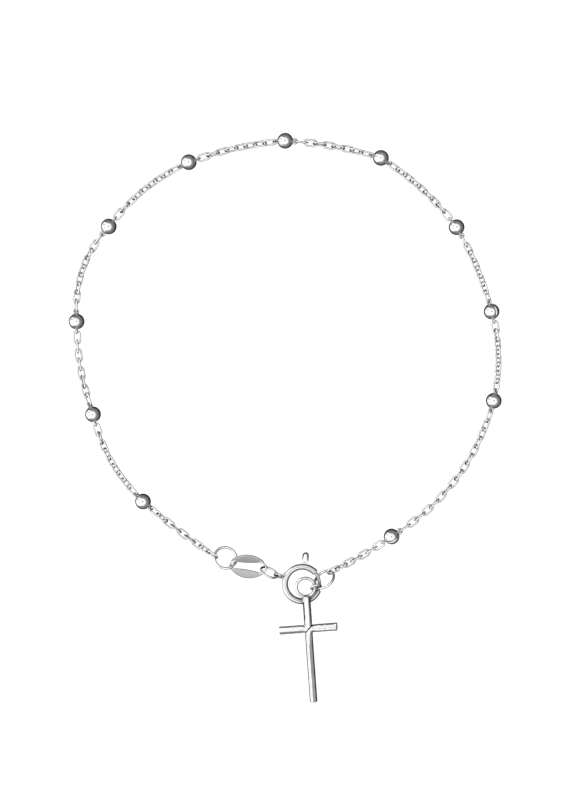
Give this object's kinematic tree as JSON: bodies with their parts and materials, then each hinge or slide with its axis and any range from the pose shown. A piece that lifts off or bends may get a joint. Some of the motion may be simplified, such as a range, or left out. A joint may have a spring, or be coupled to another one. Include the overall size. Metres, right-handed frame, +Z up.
{
  "type": "rosary bracelet",
  "caption": "Fine silver rosary bracelet: round beads on oval link chain, spring ring clasp, bare flat link and a cross, closed and lying flat.",
  "frame": {"origin": "on the surface that the bracelet lies on, under the middle of its whole outline", "axes": "+Z up from the surface, +Y away from the cross along the bracelet's length, +X to the right seen from above"},
  "size_m": [0.0607, 0.0798, 0.003],
  "materials": {
    "bead_silver": "polished silver",
    "chain_silver": "polished silver wire",
    "ring_silver": "polished silver wire",
    "tag_silver": "flat rolled silver, fine grain",
    "clasp_silver": "polished silver",
    "cross_silver": "polished silver"
  },
  "bodies": {
    "bracelet": {"bead_01": "bead_silver", "bead_02": "bead_silver", "bead_03": "bead_silver", "bead_04": "bead_silver", "bead_05": "bead_silver", "bead_06": "bead_silver", "bead_07": "bead_silver", "bead_08": "bead_silver", "bead_09": "bead_silver", "bead_10": "bead_silver", "bead_11": "bead_silver", "chain_right": "chain_silver", "chain_left": "chain_silver", "jump_ring_left": "ring_silver", "tag_link": "tag_silver", "tag_ring": "ring_silver", "clasp_body": "clasp_silver", "jump_ring_right": "ring_silver", "cross_ring": "ring_silver", "cross": "cross_silver"},
    "trigger": {"clasp_trigger": "clasp_silver"}
  },
  "joints": [
    {"name": "trigger_pull", "type": "hinge", "parent": "bracelet", "child": "trigger", "pos_m": [0.00228, -0.02325, 0.00097], "axis": [0, 0, 1], "range_deg": [0, 50], "stiffness_Nm_per_rad": 0.004}
  ]
}
